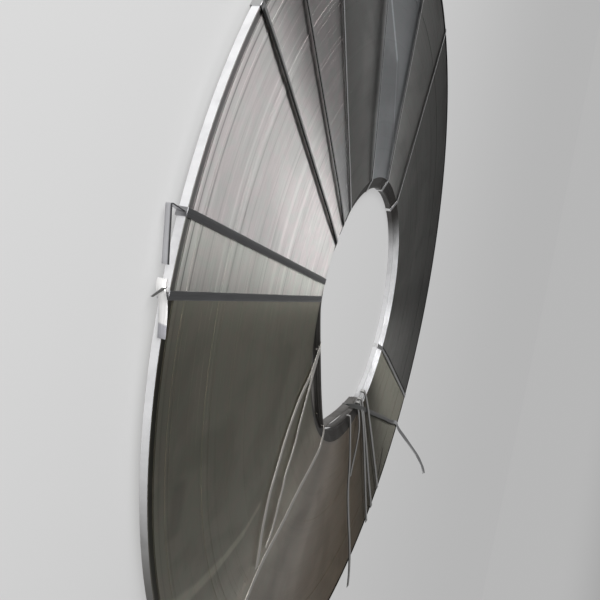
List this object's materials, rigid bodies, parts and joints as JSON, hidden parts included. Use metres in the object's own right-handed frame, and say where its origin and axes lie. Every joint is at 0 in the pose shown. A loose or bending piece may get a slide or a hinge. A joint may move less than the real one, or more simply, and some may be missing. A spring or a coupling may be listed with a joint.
{
  "type": "slit steel strip coil",
  "caption": "Flat ring of narrow steel strip wound on itself, with a large round bore, held by thin steel ties round its section.",
  "frame": {"origin": "on the bore's axis, half-way up the innermost turns", "axes": "+Z along the bore, out of the visible end face; +Y towards what is twelve o'clock in the picture"},
  "size_m": [1.4998, 1.8187, 0.0989],
  "materials": {
    "strip": "mill finish, slit edges with fine concentric turns",
    "tie_strap": "plain steel strap, smooth, slightly darkened",
    "loose_strap": "plain steel strap, smooth, lightly bent"
  },
  "bodies": {
    "root": {"coil": "strip", "tie_1": "tie_strap", "tie_2": "tie_strap", "tie_3": "tie_strap", "tie_4": "tie_strap", "tie_5": "tie_strap", "tie_6": "tie_strap", "tie_7": "tie_strap", "tie_8": "tie_strap", "tie_9": "tie_strap", "loose_strap_1": "loose_strap", "loose_strap_2": "loose_strap", "loose_strap_3": "loose_strap", "loose_strap_4": "loose_strap", "loose_strap_5": "loose_strap", "loose_strap_6": "loose_strap", "loose_strap_7": "loose_strap", "loose_strap_8": "loose_strap", "loose_strap_9": "loose_strap"}
  },
  "joints": []
}
